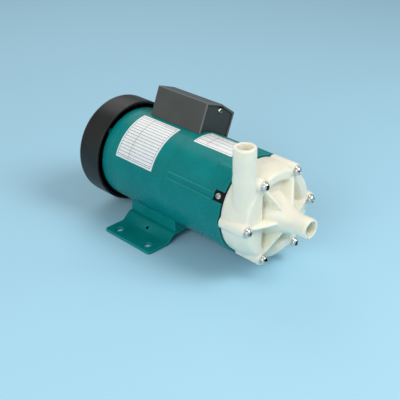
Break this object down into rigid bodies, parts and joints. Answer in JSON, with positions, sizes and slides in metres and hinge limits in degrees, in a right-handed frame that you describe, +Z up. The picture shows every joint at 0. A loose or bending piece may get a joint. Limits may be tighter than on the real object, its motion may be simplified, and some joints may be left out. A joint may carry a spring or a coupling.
{
  "type": "magnetic drive pump",
  "caption": "Seal-less centrifugal pump: a fan-cooled motor on a folded sheet foot turns a magnet coupling that drives an impeller in a plastic head with hose spigots.",
  "frame": {"origin": "centre of the foot's hole pattern, on the floor", "axes": "+X along the shaft towards the inlet, +Z up; the outlet and the near side of the box face -Y"},
  "size_m": [0.2475, 0.1256, 0.1262],
  "materials": {
    "teal_paint": "semi-gloss enamel",
    "black_plastic": "satin moulded",
    "charcoal_plastic": "fine texture moulded",
    "casing_plastic": "natural moulded polypropylene",
    "stainless": "bright stainless",
    "bearing_steel": "ground",
    "machined_steel": "turned",
    "black_steel": "black oxide",
    "lamination_steel": "stacked laminations",
    "cast_aluminium": "die cast",
    "copper_wire": "enamelled wire",
    "brass_cage": "pressed",
    "magnet": "sintered ferrite",
    "ceramic": "ground alumina",
    "carbon_bush": "carbon filled",
    "seal_rubber": "moulded",
    "label_film": "blank printed film",
    "capacitor_case": "moulded"
  },
  "bodies": {
    "pump_body": {"motor_frame": "teal_paint", "rear_end_shield": "teal_paint", "front_housing": "teal_paint", "foot": "teal_paint", "fan_cover": "black_plastic", "adapter_ring": "black_plastic", "terminal_block": "black_plastic", "cable_gland_body": "black_plastic", "cable_gland_nut": "black_plastic", "cable_gland_locknut": "black_plastic", "terminal_box_base": "charcoal_plastic", "terminal_box_lid": "charcoal_plastic", "front_casing": "casing_plastic", "rear_casing": "casing_plastic", "casing_screws": "stainless", "casing_washers": "stainless", "adapter_screws": "stainless", "lid_screws": "stainless", "box_mount_screws": "stainless", "fan_cover_screws": "stainless", "foot_screws": "stainless", "tie_bolts": "stainless", "preload_washer": "stainless", "rear_bearing_outer_race": "bearing_steel", "front_bearing_outer_race": "bearing_steel", "stator_core": "lamination_steel", "stator_windings": "copper_wire", "spindle": "ceramic", "rear_thrust_ring": "ceramic", "front_thrust_ring": "ceramic", "casing_o_ring": "seal_rubber", "cable_gland_seal": "seal_rubber", "rating_plate": "label_film", "housing_label": "label_film", "run_capacitor": "capacitor_case"},
    "motor_rotor": {"motor_shaft": "machined_steel", "rotor_core": "lamination_steel", "rotor_end_rings": "cast_aluminium", "cooling_fan": "black_plastic", "fan_retaining_ring": "stainless", "rear_bearing_inner_race": "bearing_steel", "front_bearing_inner_race": "bearing_steel", "drive_magnet_hub": "machined_steel", "drive_magnets": "magnet", "hub_set_screw": "black_steel"},
    "impeller_set": {"impeller": "casing_plastic", "magnet_capsule": "casing_plastic", "capsule_cap": "casing_plastic", "driven_magnet_ring": "magnet", "impeller_bush": "carbon_bush"},
    "rear_ball_set": {"rear_bearing_balls": "bearing_steel", "rear_bearing_cage": "brass_cage"},
    "front_ball_set": {"front_bearing_balls": "bearing_steel", "front_bearing_cage": "brass_cage"}
  },
  "joints": [
    {"name": "shaft_spin", "type": "hinge", "parent": "pump_body", "child": "motor_rotor", "pos_m": [0, 0, 0.055], "axis": [1, 0, 0], "continuous": true},
    {"name": "impeller_spin", "type": "hinge", "parent": "pump_body", "child": "impeller_set", "pos_m": [0, 0, 0.055], "axis": [1, 0, 0], "continuous": true},
    {"name": "rear_balls_orbit", "type": "hinge", "parent": "pump_body", "child": "rear_ball_set", "pos_m": [0, 0, 0.055], "axis": [1, 0, 0], "continuous": true},
    {"name": "front_balls_orbit", "type": "hinge", "parent": "pump_body", "child": "front_ball_set", "pos_m": [0, 0, 0.055], "axis": [1, 0, 0], "continuous": true}
  ],
  "couplings": [
    {"joint": "impeller_spin", "follows": "shaft_spin", "ratio": 1},
    {"joint": "rear_balls_orbit", "follows": "shaft_spin", "ratio": 0.38},
    {"joint": "front_balls_orbit", "follows": "shaft_spin", "ratio": 0.38}
  ]
}
